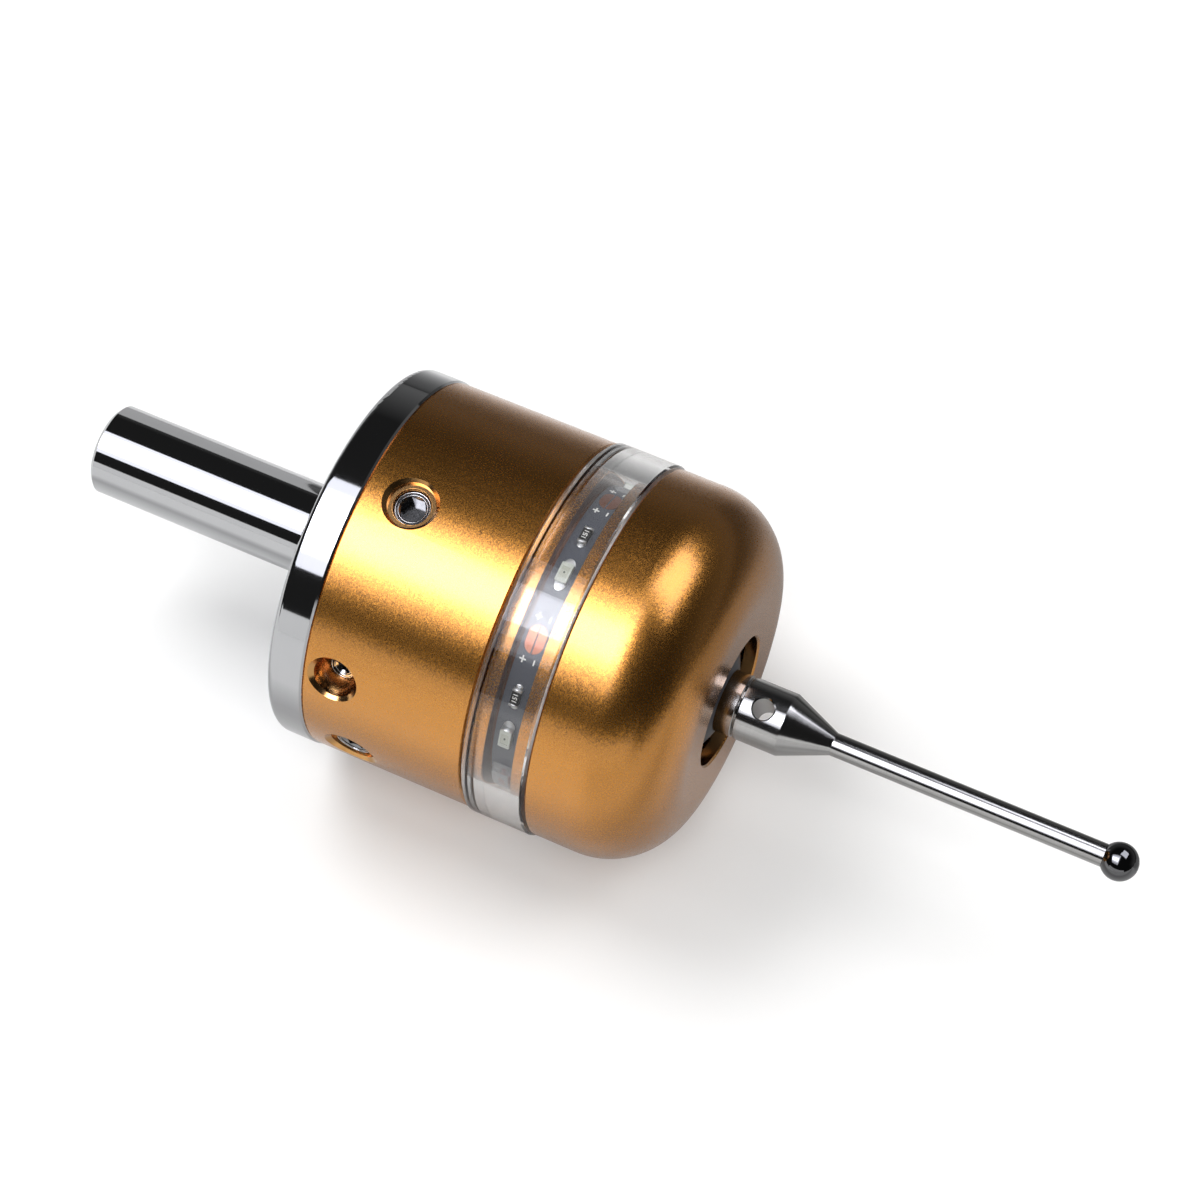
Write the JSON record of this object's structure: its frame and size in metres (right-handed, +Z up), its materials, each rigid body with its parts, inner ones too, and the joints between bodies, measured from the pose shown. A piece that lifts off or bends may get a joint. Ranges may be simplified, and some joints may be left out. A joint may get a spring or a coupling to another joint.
{
  "type": "three-dimensional edge finder",
  "caption": "Touch probe for a milling spindle: straight shank, gold round casing with a clear lit ring, and a sprung stylus with a ball tip that tilts and plunges.",
  "frame": {"origin": "centre of the flange's rear face, where the shank leaves it, on the probe's axis", "axes": "+X along the probe's axis from the shank to the stylus ball, +Z up, +Y to the left of +X"},
  "size_m": [0.1184, 0.0414, 0.0414],
  "materials": {
    "polished_steel": "polished hardened steel, ground on the shank",
    "gold_aluminium": "fine bead-blasted and gold anodised",
    "screw_steel": "bright hardened set screws",
    "clear_acrylic": "clear, polished outside, with machined ends",
    "brown_seal": "dark red-brown, plain",
    "strip_board": "grey coated flexible strip with white marks",
    "pad_copper": "bare copper",
    "led_body": "white case with a yellow window",
    "resistor_black": "black ceramic with tinned ends",
    "potting": "translucent glue",
    "red_wire": "thin insulated wire",
    "seat_plastic": "filled engineering plastic",
    "spring_bronze": "thin spring strip",
    "inner_steel": "turned",
    "spring_steel": "drawn wire",
    "neck_steel": "turned and finely brushed round the axis",
    "shield_grey": "dull dark grey",
    "stylus_steel": "polished",
    "ball_dark": "black ceramic, ground and polished",
    "cell_steel": "nickel plated",
    "board_green": "coated circuit board"
  },
  "bodies": {
    "housing": {"shank_flange": "polished_steel", "rear_casing": "gold_aluminium", "centring_screws": "screw_steel", "locking_screws": "screw_steel", "core_sleeve": "gold_aluminium", "ring_seals": "brown_seal", "light_ring": "clear_acrylic", "led_strip": "strip_board", "solder_pads": "pad_copper", "leds": "led_body", "resistors": "resistor_black", "feed_cover": "potting", "feed_wires": "red_wire", "front_casing": "gold_aluminium", "seat": "seat_plastic", "contact_leaves": "spring_bronze", "leaf_screws": "inner_steel", "spring_guide": "inner_steel", "guide_screws": "screw_steel", "preload_plug": "inner_steel", "plunge_spring": "spring_steel", "coin_cells": "cell_steel", "cell_contact": "spring_bronze", "board": "board_green", "board_screws": "inner_steel", "board_parts": "resistor_black"},
    "spring_cup": {"push_cup": "inner_steel"},
    "thrust_ball": {"thrust_ball": "polished_steel"},
    "stylus_carrier": {"stylus_carrier": "neck_steel", "contact_pins": "inner_steel", "dust_shield": "shield_grey", "stylus": "stylus_steel", "tip_ball": "ball_dark"}
  },
  "joints": [
    {"name": "plunge", "type": "slide", "parent": "housing", "child": "spring_cup", "axis": [-1, 0, 0], "range_m": [0, 0.003], "stiffness_N_per_m": 1500, "springref_m": -0.002, "deforming": ["plunge_spring"]},
    {"name": "tilt_vertical", "type": "hinge", "parent": "spring_cup", "child": "thrust_ball", "pos_m": [0.0317, 0, 0], "axis": [0, 1, 0], "range_deg": [-6, 6], "stiffness_Nm_per_rad": 1, "deforming": ["contact_leaves"]},
    {"name": "tilt_horizontal", "type": "hinge", "parent": "thrust_ball", "child": "stylus_carrier", "pos_m": [0.0317, 0, 0], "axis": [0, 0, 1], "range_deg": [-6, 6], "stiffness_Nm_per_rad": 1}
  ]
}
